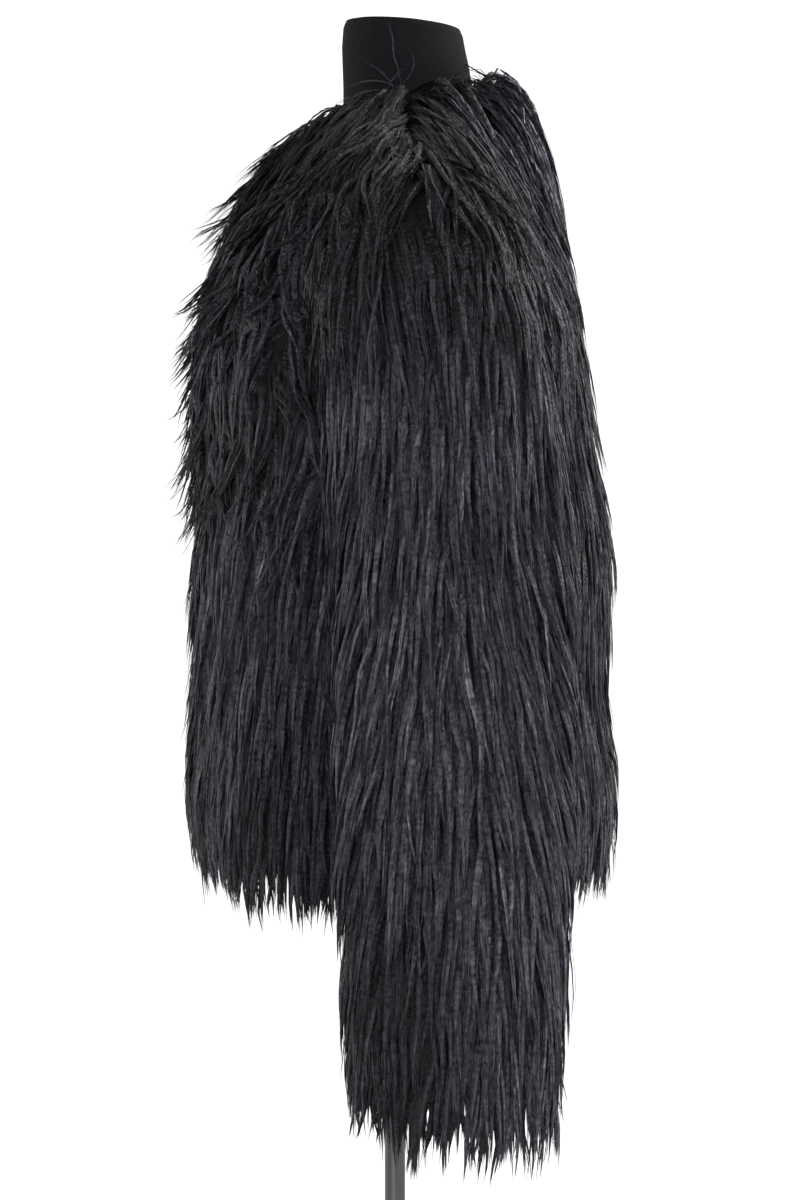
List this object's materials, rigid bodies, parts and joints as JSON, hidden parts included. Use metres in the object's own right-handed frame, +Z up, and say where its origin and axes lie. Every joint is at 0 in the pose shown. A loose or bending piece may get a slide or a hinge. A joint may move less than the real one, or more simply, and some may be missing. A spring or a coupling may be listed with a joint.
{
  "type": "faux fur coat on a limbless dress form with a pole stand",
  "caption": "Short collarless coat of long shaggy dark faux fur, worn open-necked on a black limbless dress form with a steel pole and a round flat base.",
  "frame": {"origin": "centre of the base's underside, on the floor under the pole", "axes": "+Z up along the pole; the coat's front faces -Y; the wearer's left sleeve is at +X"},
  "size_m": [0.6178, 0.34, 1.53],
  "materials": {
    "faux_fur": "long shaggy crimped pile, charcoal with a faint violet tint, silky sheen along the strands",
    "form_jersey": "matt black knitted jersey cover",
    "stand_metal": "satin steel, brushed"
  },
  "bodies": {
    "root": {"left_front": "faux_fur", "right_front": "faux_fur", "back": "faux_fur", "left_sleeve": "faux_fur", "right_sleeve": "faux_fur", "dress_form": "form_jersey", "form_plate": "stand_metal", "pole": "stand_metal", "base": "stand_metal"}
  },
  "joints": []
}
